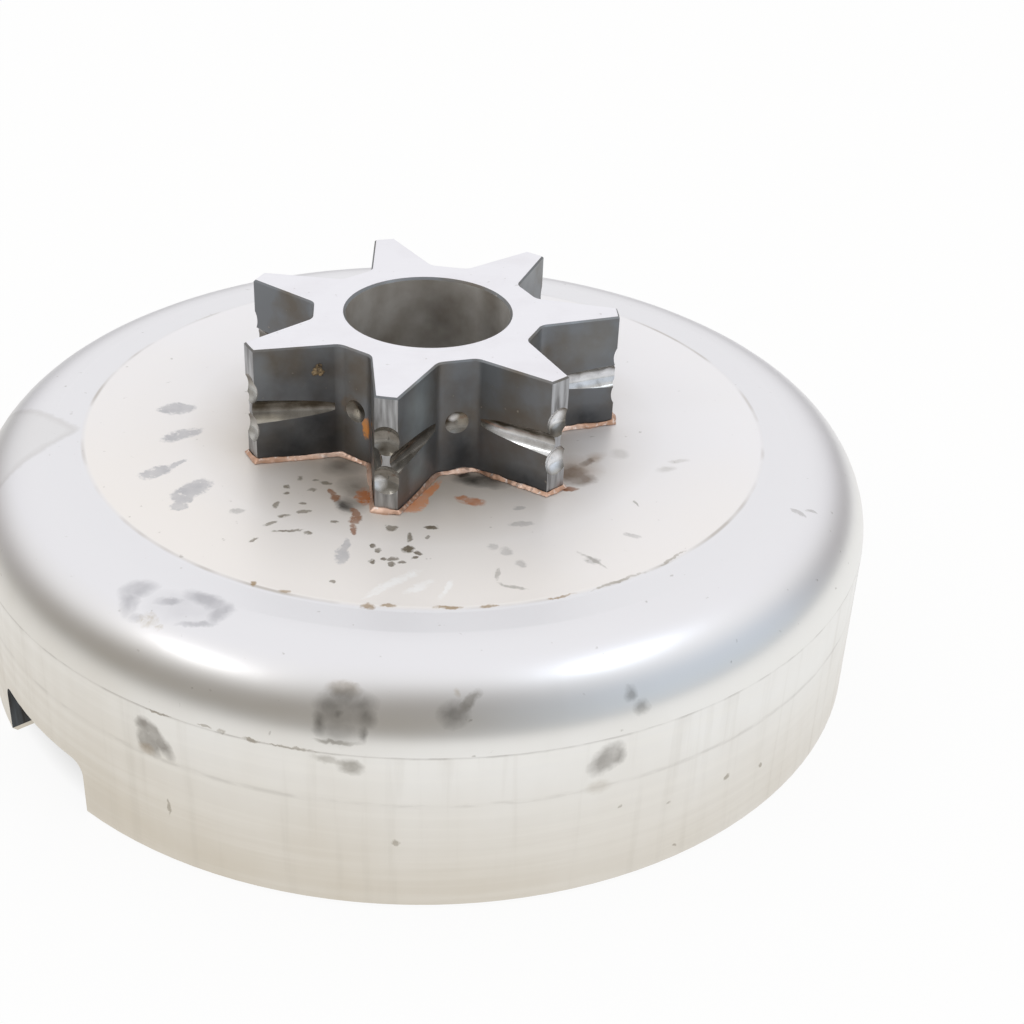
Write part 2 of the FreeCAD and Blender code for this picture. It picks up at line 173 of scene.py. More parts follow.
drum = {
    "radius": 39.0,            # mm, as are the lengths below
    "faceHeight": 20.6,
    "cornerDrop": 6.7,         # from the face to the foot of the round corner
    "turnedLineDrop": 6.2,
    "secondLineDrop": 10.6,    # end of the first turning cut
    "wallInside": 36.5,
    "notchTop": 5.1,
    "discRadius": 29.5,        # middle of the slope round the raised disc
    "face": "#e8e7ea",         # outside the disc
    "disc": "#efedef",
    "discFront": "#f1ece8",
    "warmSide": (-0.4, -1.0, 0.0),   # the disc turns warmer that way
    "warmEnds": (-6.0, 26.0),  # mm along it
    # chain oil and painted shade: the face turns brown and darker round the foot of the teeth
    "footOilShade": "#b09c7c",
    "footOilShadeEnds": (21.0, 10.0),   # mm from the axis
    "stepDirt": "#8a7a64",
    "dust": "#8d867c",
    "bareEnds": (28.0, 36.0),  # mm from the axis; the dull film ends between them
    "glossEnds": (30.0, 36.5),
    "wall": "#ebeae7",
    # painted shade: the wall's warmer, darker tone low down and towards the left
    "wallLowShade": "#cfc7b9",
    "wallShadeTop": (14.0, 2.0),     # mm up, none and full
    "wallShadeSide": (26.0, -32.0),   # mm in x, none and full
    "cornerShadeReach": (0.8, 3.6),  # mm below the face, where the wall's painted shade starts and is full
    "streak": "#bdb7ac",
    "ring": "#f0ede6",
    "lineDirt": "#7d766b",
    "inside": "#8f8a84",
    "insideDull": "#6e6459",
    "insideRubbed": "#bab7b3",
    "rubTop": (13.8, 12.6),    # mm up, where the shoes' band ends
    # painted shade: the notch's cut faces are coloured dark grey, for the shade in the notch
    "sheared": "#55585a",
    "shearedShadeDeep": "#3d3a37",
    # a hand's print at the left edge: its corner, and the outward sides of its two edges
    "printCorner": (-29.5, -3.0, 0.0),
    "printEdges": ((0.629, 0.777, 0.0), (0.824, -0.567, 0.0)),
    "print": "#d6d4d1",
    "printEdge": "#b5b0ae",
    "faceMarkReach": 2.0,      # mm that a mark on the face goes up and down
    # dried films, and some painted shade, on the face: tone, share, strength when full,
    # then x, y, width and height in mm and tilt in degrees
    "faceFilmsAndShade": [
        ("#b3b2b6", 0.85, 0.35, [   # water
            (-22.0, 0.9, 3.9, 2.5, 8), (-20.85, -3.8, 4.7, 2.2, 35), (-22.1, -10.2, 3.7, 2.0, 40),
            (-20.6, -8.8, 2.4, 0.7, 50), (-18.8, -12.9, 4.8, 2.7, 52), (-19.45, -14.4, 2.0, 2.2, 0),
            (-19.6, -15.6, 1.8, 1.6, 0), (-6.3, -22.5, 1.5, 3.0, 0), (-6.1, -21.0, 0.8, 2.2, -8),
        ]),
        ("#d5d4d8", 0.7, 0.6, [(-17.4, -29.2, 8.6, 4.2, -14)]),   # a drip that ran off the edge
        ("#aeadb2", 0.75, 0.6, [
            (-21.1, -26.9, 3.8, 2.4, 5), (-21.7, -28.1, 2.2, 4.2, 0), (-21.1, -29.4, 2.2, 1.4, -20),
            (-18.7, -28.5, 2.8, 1.0, -5), (-15.7, -28.7, 5.4, 2.0, -32), (-14.7, -30.0, 1.9, 3.2, -35),
            (-16.4, -30.9, 4.0, 0.7, -8),
        ]),
        ("#c4bbad", 0.7, 0.5, [(-20.1, -29.9, 2.8, 1.5, -25), (-19.2, -30.6, 1.5, 0.8, -20)]),
        ("#a8a5a3", 0.6, 0.5, [     # smaller spots
            (5.3, -20.9, 1.1, 1.3, 0), (6.3, -21.6, 1.3, 1.5, 20), (7.35, -23.3, 1.2, 1.5, 0),
            (7.65, -17.5, 2.4, 1.1, 12), (7.6, -15.05, 1.4, 0.7, 20), (12.9, -22.6, 1.8, 1.2, -30),
            (16.3, -19.0, 1.9, 0.9, -20), (30.4, -14.9, 1.6, 0.8, -30), (31.6, -14.2, 1.4, 0.6, 10),
            (-14.9, -16.2, 1.7, 1.0, 20),
        ]),
        ("#c3bfbc", 0.6, 0.6, [
            (20.2, -8.4, 2.2, 1.3, 10), (21.6, -7.0, 2.4, 0.8, 15), (16.5, -5.9, 2.2, 2.2, 0),
        ]),
        ("#4d4334", 0.75, 0.9, [    # thick oil, and painted shade of the front tooth
            (-6.9, -8.8, 4.4, 4.4, 15), (-5.7, -12.4, 3.8, 6.0, 15), (-6.0, -14.8, 3.2, 4.4, 20),
        ]),
        ("#a08468", 0.6, 0.9, [     # oil by the right tooth
            (12.7, -8.6, 5.4, 5.6, 20), (14.3, -6.8, 3.4, 2.0, 50),
        ]),
        ("#6b4f33", 0.75, 0.55, [
            (12.2, -9.5, 3.6, 4.4, 0), (12.9, -10.4, 3.6, 2.6, 15), (13.6, -7.5, 2.0, 1.0, 50),
        ]),
        # painted shadow and grime: near black in the gullet right of the front tooth and at the front tooth's
        # left foot
        ("#14110a", 1.0, 0.7, [
            (4.6, -10.7, 6.4, 3.2, -12), (3.2, -9.9, 2.4, 2.0, 0), (-6.5, -15.1, 3.0, 1.4, -54),
        ]),
        ("#8f5420", 0.9, 0.4, [     # rust, and copper washed out of the braze
            (-5.6, -16.3, 0.9, 2.0, 20), (-5.5, -17.2, 1.3, 1.9, -15), (-5.6, -18.6, 0.6, 2.2, 10),
            (-7.3, -13.9, 1.1, 1.4, 0), (-7.6, -13.0, 0.7, 1.4, 20), (11.7, -11.9, 2.0, 1.0, 0),
        ]),
        ("#c2702e", 0.9, 0.45, [
            (-4.95, -13.6, 1.8, 3.4, 5), (3.75, -14.2, 2.8, 1.6, -5), (2.9, -13.6, 1.3, 0.9, 20),
        ]),
        ("#ef9f68", 0.95, 0.35, [
            (-1.0, -15.0, 3.0, 2.2, 35), (-0.4, -14.2, 1.8, 1.8, 50), (0.0, -13.3, 6.6, 1.1, 63),
        ]),
        ("#96784a", 0.8, 0.5, [     # dirt in the step
            (-10.25, -27.4, 1.1, 0.6, -10), (-4.1, -29.2, 1.3, 1.0, 0), (-2.6, -29.1, 1.6, 0.55, 0),
            (1.6, -29.3, 2.8, 0.55, 0), (4.7, -29.0, 1.7, 0.5, 5), (-12.7, -26.4, 0.6, 1.0, -15),
            (10.2, -27.6, 3.2, 0.35, 20),
        ]),
        ("#857b66", 0.6, 0.5, [(14.6, -25.5, 7.0, 0.4, 31), (19.2, -22.2, 4.0, 0.35, 43)]),
        ("#5c4f35", 0.9, 0.4, [     # spatter in front
            (-4.0, -21.0, 0.59, 0.67, 0), (-3.6, -21.6, 0.59, 1.01, 0), (-4.0, -23.2, 0.76, 0.84, 0),
            (-3.1, -22.85, 0.59, 0.59, 0), (-2.5, -22.95, 1.18, 0.67, 8), (-2.45, -23.65, 0.84, 0.76, 0),
            (-1.7, -23.3, 0.76, 0.5, 20), (-1.2, -19.9, 0.59, 1.85, 0), (-1.3, -21.5, 1.26, 1.34, 20),
            (-0.5, -22.0, 0.84, 0.76, 0), (0.5, -18.3, 1.43, 0.59, 0), (0.2, -19.7, 0.5, 0.76, 0),
            (-2.6, -18.4, 1.09, 0.92, 20), (-0.8, -22.6, 0.92, 0.42, 15),
        ]),
        ("#7d7362", 0.85, 0.45, [   # spatter at the left
            (-10.3, -10.8, 0.72, 0.96, 0), (-11.35, -12.25, 0.72, 0.64, 20), (-9.2, -12.7, 0.88, 0.56, 0),
            (-9.9, -14.8, 0.64, 0.72, 0), (-11.9, -15.2, 0.56, 1.28, -10), (-9.6, -16.2, 1.6, 0.64, 5),
            (-11.2, -16.8, 1.2, 0.64, 10), (-12.1, -18.0, 1.6, 0.56, 40), (-10.7, -19.0, 2.88, 0.44, 6),
            (-9.1, -19.3, 0.88, 0.56, 0), (-13.2, -20.4, 1.28, 0.48, 35), (-6.85, -26.1, 0.56, 0.64, 0),
            (-7.15, -17.6, 0.88, 0.56, 0), (-11.3, -13.2, 0.56, 0.56, 0), (-9.0, -11.2, 0.96, 0.4, 15),
            (-8.2, -11.6, 1.28, 0.72, -20),
        ]),
        ("#938e86", 0.6, 0.5, [     # dark scratches
            (12.9, -22.5, 3.8, 0.4, -47), (5.5, -24.8, 0.5, 2.4, 0), (6.6, -26.4, 3.0, 0.45, -20),
            (17.2, -14.1, 0.35, 1.2, 10),
        ]),
        ("#ffffff", 0.65, 0.5, [    # bright scratches
            (-2.2, -26.0, 6.4, 1.3, 40), (-3.0, -26.9, 5.6, 0.6, 42), (1.65, -27.0, 3.8, 0.6, 70),
            (-0.4, -26.6, 3.4, 1.2, 40),
        ]),
    ],
    # the same on the corner and wall: degrees from the front, mm below the face
    "wallFilms": [
        ("#a09d98", 0.6, 0.7, [     # a large drip, darkest at its edges
            (-8.5, 3.3, 4.9, 3.8, 0), (-8.5, 4.4, 4.5, 3.0, 0),
        ]),
        ("#b3a48e", 0.45, 0.6, [(-8.6, 1.9, 3.2, 1.2, 0), (3.8, 1.6, 0.7, 2.2, 0)]),
        ("#5f5b55", 0.7, 1.0, [
            (-10.1, 2.8, 2.7, 2.2, 0), (-10.8, 3.9, 1.3, 3.8, 0), (-8.4, 2.2, 4.2, 1.6, 0),
            (-6.3, 2.6, 2.6, 2.2, 0), (-6.0, 3.3, 2.0, 2.6, 0), (-6.1, 4.5, 1.0, 2.6, 0),
            (-8.9, 3.3, 1.0, 0.9, 0),
        ]),
        ("#5f5b55", 0.75, 0.8, [(3.4, 3.1, 2.9, 2.3, 0)]),
        ("#8b867d", 0.75, 0.6, [
            (-8.9, 5.3, 4.2, 0.5, 0), (-7.3, 7.25, 2.5, 1.9, 0), (5.2, 2.4, 2.8, 0.9, -35),
        ]),
        ("#a39e95", 0.6, 0.6, [(-9.7, 6.8, 3.2, 0.9, 10)]),
        ("#94918c", 0.65, 0.7, [(23.0, 3.3, 1.4, 1.6, 0), (24.1, 4.4, 1.7, 1.7, 30)]),
        ("#928d86", 0.95, 0.55, [
            (-31.3, 8.0, 2.3, 2.1, 0), (-31.5, 9.2, 1.9, 3.2, 0), (-29.6, 8.7, 2.0, 4.8, -40),
            (-30.4, 9.3, 2.6, 3.4, 0),
        ]),
        ("#a08f78", 0.5, 0.6, [(-31.2, 10.1, 2.2, 1.4, 0)]),
        ("#8f8b86", 0.85, 0.55, [(20.0, 8.0, 2.8, 4.2, 48), (20.9, 7.9, 2.6, 2.6, 0)]),
        ("#c5bfb5", 0.6, 0.6, [(19.4, 10.5, 2.6, 1.7, 0)]),
        ("#8b8170", 0.7, 0.5, [     # dirt along the turned line, and specks
            (-29.1, 6.25, 3.2, 0.3, 0), (-23.4, 6.1, 1.6, 0.3, 0), (-21.4, 6.1, 0.9, 0.45, 0),
            (-18.0, 6.2, 1.6, 0.45, 0), (-13.8, 6.2, 4.6, 0.25, 0), (-28.8, 15.2, 0.4, 2.2, 0),
            (-2.6, 14.1, 0.9, 0.6, 30), (22.2, 13.0, 0.5, 0.5, 0), (28.7, 14.2, 0.5, 0.5, 0),
            (30.2, 19.0, 0.7, 0.4, 20), (37.3, 14.5, 0.9, 0.7, 0), (43.4, 15.5, 0.5, 0.6, 0),
        ]),
    ],
}


def wallShadeTone(tree, place):
    # painted shade on the turned wall: a warmer, darker tone, thicker low down and towards the left
    axes = addNode(tree, "ShaderNodeSeparateXYZ", {0: place}).outputs
    clouds = addNode(tree, "ShaderNodeTexNoise", {"Vector": place, "Scale": 1 / 9, "Detail": 4.0})
    none, full = drum["wallShadeTop"]
    low = addNode(tree, "ShaderNodeMapRange",
                  {"Value": axes["Z"], "From Min": none, "From Max": full, "To Max": 0.7})
    none, full = drum["wallShadeSide"]
    left = addNode(tree, "ShaderNodeMapRange",
                   {"Value": axes["X"], "From Min": none, "From Max": full, "To Max": 0.55})
    share = addNode(tree, "ShaderNodeMath", {0: low, 1: left}, operation="ADD")
    share = addNode(tree, "ShaderNodeMath", {0: clouds, 1: 0.5, 2: share}, operation="MULTIPLY_ADD")
    share = addNode(tree, "ShaderNodeMapRange", {"Value": share, "From Min": 0.35, "From Max": 1.35})
    tones = {0: share, 6: linear(drum["wall"]), 7: linear(drum["wallLowShade"])}
    return addNode(tree, "ShaderNodeMix", tones, data_type="RGBA").outputs[2]


def makeDrawnSteel():
    # Cold drawn mild steel, wiped clean: satin, cloudy, with dried drips, spatter and first rust, and painted
    # shade round the foot of the teeth, in a gullet and low on the corner
    material, tree, shader, place = newMaterial("drawnSteelWiped", 1.0, 0.4)
    ragged = wander(tree, wander(tree, place, 1.3, 0.34), 0.4, 0.16)
    radius = distanceFromAxis(tree, place)
    step = drum["discRadius"]
    onDisc = addNode(tree, "ShaderNodeMapRange",
                     {"Value": radius, "From Min": step + 0.2, "From Max": step - 0.3})

    # the disc is warmer towards the front, in clouds
    clouds = addNode(tree, "ShaderNodeTexNoise", {"Vector": place, "Scale": 1 / 14, "Detail": 4.0})
    ahead = addNode(tree, "ShaderNodeVectorMath", {0: place, 1: drum["warmSide"]}, operation="DOT_PRODUCT")
    cool, warm = drum["warmEnds"]
    front = addNode(tree, "ShaderNodeMapRange",
                    {"Value": ahead.outputs["Value"], "From Min": cool, "From Max": warm, "To Max": 0.8})
    front = addNode(tree, "ShaderNodeMath", {0: clouds, 1: 0.7, 2: front}, operation="MULTIPLY_ADD")
    front = addNode(tree, "ShaderNodeMapRange", {"Value": front, "From Min": 0.3, "From Max": 1.1})
    tones = {0: front, 6: linear(drum["disc"]), 7: linear(drum["discFront"])}
    disc = addNode(tree, "ShaderNodeMix", tones, data_type="RGBA").outputs[2]

    # the wall's painted shade reaches up round the corner
    height = addNode(tree, "ShaderNodeSeparateXYZ", {0: place}).outputs["Z"]
    starts, full = [drum["faceHeight"] - drop for drop in drum["cornerShadeReach"]]
    fromWall = addNode(tree, "ShaderNodeMapRange", {"Value": height, "From Min": starts, "From Max": full})

    # chain oil, thin and brown, and painted shade round the foot of the teeth
    none, full = drum["footOilShadeEnds"]
    near = addNode(tree, "ShaderNodeMapRange",
                   {"Value": radius, "From Min": none, "From Max": full, "To Max": 0.55})
    seep = addNode(tree, "ShaderNodeTexNoise", {"Vector": place, "Scale": 1 / 5, "Detail": 5.0})
    seep = addNode(tree, "ShaderNodeMath", {0: seep, 1: front}, operation="ADD")
    footOilShade = addNode(tree, "ShaderNodeMath", {0: near, 1: seep}, operation="MULTIPLY", use_clamp=True)

    # dirt that stays in the step round the raised disc
    fromStep = addNode(tree, "ShaderNodeMath", {0: radius, 1: step}, operation="SUBTRACT")
    fromStep = addNode(tree, "ShaderNodeMath", {0: fromStep}, operation="ABSOLUTE")
    stepLine = addNode(tree, "ShaderNodeMapRange", {"Value": fromStep, "From Min": 0.22, "From Max": 0.06})
    patches = addNode(tree, "ShaderNodeTexNoise", {"Vector": place, "Scale": 1 / 7, "Detail": 2.0})
    patchy = addNode(tree, "ShaderNodeMapRange",
                     {"Value": patches, "From Min": 0.45, "From Max": 0.65, "To Min": 0.03, "To Max": 0.45})
    stepDirt = addNode(tree, "ShaderNodeMath", {0: stepLine, 1: patchy}, operation="MULTIPLY")

    # a hand's print: a faint film with two straight edges
    fromCorner = addNode(tree, "ShaderNodeVectorMath", {0: ragged, 1: drum["printCorner"]},
                         operation="SUBTRACT")
    beyond = []
    for side in drum["printEdges"]:
        across = addNode(tree, "ShaderNodeVectorMath", {0: fromCorner, 1: side}, operation="DOT_PRODUCT")
        beyond.append(across.outputs["Value"])
    outside = addNode(tree, "ShaderNodeMath", {0: beyond[0], 1: beyond[1], 2: 1.5}, operation="SMOOTH_MAX")
    printed = addNode(tree, "ShaderNodeMapRange",
                      {"Value": outside, "From Min": 0.2, "From Max": -0.3, "To Max": 0.35})
    nearEdge = addNode(tree, "ShaderNodeMapRange",
                       {"Value": outside, "From Min": -0.9, "From Max": -0.1, "To Max": 0.8})
    printEdge = addNode(tree, "ShaderNodeMath", {0: nearEdge, 1: printed}, operation="MULTIPLY")

    # pinholes and dust: grains about a third of a millimetre across, far apart
    grains = addNode(tree, "ShaderNodeTexNoise", {"Vector": place, "Scale": 1 / 0.8, "Detail": 2.0})
    dust = addNode(tree, "ShaderNodeMapRange",
                   {"Value": grains, "From Min": 0.73, "From Max": 0.79, "To Max": 0.4})

    colour = linear(drum["face"])
    layers = [
        (onDisc, disc), (fromWall, wallShadeTone(tree, place)), (footOilShade, linear(drum["footOilShade"])),
        (stepDirt, linear(drum["stepDirt"])), (printed, linear(drum["print"])),
        (printEdge, linear(drum["printEdge"])),
    ]
    for share, tone in layers:
        tones = {0: share, 6: colour, 7: tone}
        colour = addNode(tree, "ShaderNodeMix", tones, data_type="RGBA").outputs[2]
    colour = layFilmsAndPaintedLight(tree, ragged, "face", drum["faceFilmsAndShade"], colour)
    colour = layFilmsAndPaintedLight(tree, ragged, "wall", drum["wallFilms"], colour)
    tones = {0: dust, 6: colour, 7: linear(drum["dust"])}
    colour = addNode(tree, "ShaderNodeMix", tones, data_type="RGBA").outputs[2]

    # the face keeps a thin dull film, which the die rubbed off the corner
    dull, clean = drum["bareEnds"]
    bare = addNode(tree, "ShaderNodeMapRange",
                   {"Value": radius, "From Min": dull, "From Max": clean, "To Min": 0.3, "To Max": 1.0})

    # lines left by the wiping rag, about a millimetre apart
    rag = addNode(tree, "ShaderNodeMapping",
                  {"Vector": place, "Rotation": (0.0, 0.0, math.radians(-12)), "Scale": (0.05, 1.0, 1.0)})
    wipes = addNode(tree, "ShaderNodeTexNoise", {"Vector": rag, "Scale": 1 / 0.9, "Detail": 2.0})
    dull, glossy = drum["glossEnds"]
    rough = addNode(tree, "ShaderNodeMapRange",
                    {"Value": radius, "From Min": dull, "From Max": glossy, "To Min": 0.38, "To Max": 0.285})
    rough = addNode(tree, "ShaderNodeMath", {0: wipes, 1: 0.05, 2: rough}, operation="MULTIPLY_ADD")
    fillSockets(tree, shader, {"Base Color": colour, "Metallic": bare, "Roughness": rough})
    return material


def makeTurnedSteel():
    # Mild steel turned on a lathe: fine rings, painted warm grey shade low down and towards the left, faint
    # streaks left by the drawing die
    material, tree, shader, place = newMaterial("turnedSteelFilmed", 1.0, 0.34)
    ragged = wander(tree, wander(tree, place, 1.3, 0.3), 0.4, 0.16)

    # streaks up the wall, about a millimetre apart
    upright = addNode(tree, "ShaderNodeVectorMath", {0: place, 1: (1.0, 1.0, 0.05)}, operation="MULTIPLY")
    streaks = addNode(tree, "ShaderNodeTexNoise", {"Vector": upright, "Scale": 1 / 1.1, "Detail": 4.0})
    streak = addNode(tree, "ShaderNodeMapRange",
                     {"Value": streaks, "From Min": 0.55, "From Max": 0.75, "To Max": 0.2})

    # rings left by the tool: 0.1 mm apart, drawn at 0.7 mm so that they show
    around = addNode(tree, "ShaderNodeVectorMath", {0: place, 1: (0.03, 0.03, 1.0)}, operation="MULTIPLY")
    rings = addNode(tree, "ShaderNodeTexNoise", {"Vector": around, "Scale": 1 / 0.7, "Detail": 5.0})
    ring = addNode(tree, "ShaderNodeMapRange",
                   {"Value": rings, "From Min": 0.35, "From Max": 0.65, "To Min": -0.06, "To Max": 0.14})

    # broken dirt along the turned line, and the fainter line where the first cut ended
    height = addNode(tree, "ShaderNodeSeparateXYZ", {0: place}).outputs["Z"]
    dashPlace = addNode(tree, "ShaderNodeVectorMath", {0: place, 1: (0.25, 0.25, 1.0)}, operation="MULTIPLY")
    dashes = addNode(tree, "ShaderNodeTexNoise", {"Vector": dashPlace, "Scale": 1 / 0.6, "Detail": 3.0})
    layers = [(streak, "streak"), (ring, "ring")]
    for drop, reach, share in ((drum["turnedLineDrop"], 0.2, 0.25), (drum["secondLineDrop"], 0.3, 0.2)):
        gap = addNode(tree, "ShaderNodeMath", {0: height, 1: drum["faceHeight"] - drop}, operation="SUBTRACT")
        gap = addNode(tree, "ShaderNodeMath", {0: gap}, operation="ABSOLUTE")
        line = addNode(tree, "ShaderNodeMapRange", {"Value": gap, "From Min": reach, "From Max": 0.05})
        broken = addNode(tree, "ShaderNodeMapRange",
                         {"Value": dashes, "From Min": 0.44, "From Max": 0.6,
                          "To Min": 0.05, "To Max": share})
        dirt = addNode(tree, "ShaderNodeMath", {0: line, 1: broken}, operation="MULTIPLY")
        layers.append((dirt, "lineDirt"))

    colour = wallShadeTone(tree, place)
    for share, tone in layers:
        tones = {0: share, 6: colour, 7: linear(drum[tone])}
        colour = addNode(tree, "ShaderNodeMix", tones, data_type="RGBA").outputs[2]
    colour = layFilmsAndPaintedLight(tree, ragged, "wall", drum["wallFilms"], colour)
    rough = addNode(tree, "ShaderNodeMapRange",
                    {"Value": streaks, "From Min": 0.3, "From Max": 0.7, "To Min": 0.3, "To Max": 0.4})
    bump = addNode(tree, "ShaderNodeBump", {"Height": rings, "Strength": 0.15, "Distance": 0.04 * mm})
    fillSockets(tree, shader, {"Base Color": colour, "Roughness": rough, "Normal": bump})
    return material


def makeInsideSteel():
    # The cup's inside: dull drawn steel, and a brighter band where the clutch shoes rub
    material, tree, shader, place = newMaterial("drawnSteelRubbed", 1.0, 0.4)
    height = addNode(tree, "ShaderNodeSeparateXYZ", {0: place}).outputs["Z"]
    radius = distanceFromAxis(tree, place)
    wall = drum["wallInside"]
    onWall = addNode(tree, "ShaderNodeMapRange",
                     {"Value": radius, "From Min": wall - 0.3, "From Max": wall - 0.05})
    none, full = drum["rubTop"]
    under = addNode(tree, "ShaderNodeMapRange", {"Value": height, "From Min": none, "From Max": full})
    band = addNode(tree, "ShaderNodeMath", {0: onWall, 1: under}, operation="MULTIPLY")
    clouds = addNode(tree, "ShaderNodeTexNoise", {"Vector": place, "Scale": 1 / 7, "Detail": 5.0})
    dull = addNode(tree, "ShaderNodeMapRange", {"Value": clouds, "From Min": 0.35, "From Max": 0.7})
    # rub marks run round the wall, drawn at half a millimetre
    around = addNode(tree, "ShaderNodeVectorMath", {0: place, 1: (0.03, 0.03, 1.0)}, operation="MULTIPLY")
    rings = addNode(tree, "ShaderNodeTexNoise", {"Vector": around, "Scale": 1 / 0.5, "Detail": 4.0})
    rubbed = addNode(tree, "ShaderNodeMath", {0: band, 1: rings}, operation="MULTIPLY")
    rubbed = addNode(tree, "ShaderNodeMapRange", {"Value": rubbed, "From Min": 0.2, "From Max": 0.5})
    colour = linear(drum["inside"])
    for share, tone in ((dull, "insideDull"), (rubbed, "insideRubbed")):
        tones = {0: share, 6: colour, 7: linear(drum[tone])}
        colour = addNode(tree, "ShaderNodeMix", tones, data_type="RGBA").outputs[2]
    rough = addNode(tree, "ShaderNodeMapRange", {"Value": rubbed, "To Min": 0.45, "To Max": 0.25})
    bump = addNode(tree, "ShaderNodeBump", {"Height": rings, "Strength": 0.25, "Distance": 0.05 * mm})
    fillSockets(tree, shader, {"Base Color": colour, "Roughness": rough, "Normal": bump})
    return material


def makeShearedSteel():
    # Steel sheared by a punch: torn upright lines about 0.4 mm apart, coloured dark as painted shade in the
    # notch
    material, tree, shader, place = newMaterial("shearedSteelShaded", 1.0, 0.45)
    upright = addNode(tree, "ShaderNodeVectorMath", {0: place, 1: (1.0, 1.0, 0.1)}, operation="MULTIPLY")
    tears = addNode(tree, "ShaderNodeTexNoise", {"Vector": upright, "Scale": 1 / 0.4, "Detail": 4.0})
    torn = addNode(tree, "ShaderNodeMapRange", {"Value": tears, "From Min": 0.35, "From Max": 0.7})
    tones = {0: torn, 6: linear(drum["sheared"]), 7: linear(drum["shearedShadeDeep"])}
    colour = addNode(tree, "ShaderNodeMix", tones, data_type="RGBA").outputs[2]
    bump = addNode(tree, "ShaderNodeBump", {"Height": tears, "Strength": 0.4, "Distance": 0.06 * mm})
    fillSockets(tree, shader, {"Base Color": colour, "Normal": bump})
    return material


def finishDrum():
    mesh = nodes["clutch_drum"].data
    mesh.materials.clear()
    for material in (makeDrawnSteel(), makeTurnedSteel(), makeInsideSteel(), makeShearedSteel()):
        mesh.materials.append(material)
    drawn, turned, inside, sheared = range(4)
    turnedTop = drum["faceHeight"] - drum["turnedLineDrop"] + 0.25   # mm, with the groove
    notchFoot, notchTop = 0.6, drum["notchTop"] + 0.2   # mm; the rim's broken edge stays turned
    tilted = 0.05              # share of a normal that counts as facing that way
    for polygon in mesh.polygons:
        centre = polygon.center / mm
        outward = Vector((centre.x, centre.y, 0)).normalized().dot(polygon.normal)
        radius = math.hypot(centre.x, centre.y)
        acrossWall = abs(outward) < 0.5 and drum["wallInside"] < radius < drum["radius"]
        facesInside = outward < -tilted or polygon.normal.z < -tilted and centre.z > 1.0
        if acrossWall and notchFoot < centre.z < notchTop:
            polygon.material_index = sheared
        elif facesInside and radius < drum["wallInside"] + 0.3:
            polygon.material_index = inside
        elif centre.z < turnedTop:
            polygon.material_index = turned
        else:
            polygon.material_index = drawn
    print("drum: drawn face and corner, turned wall, rubbed inside, sheared notch")


# Sprocket: hardened, top ground, teeth polished by the chain

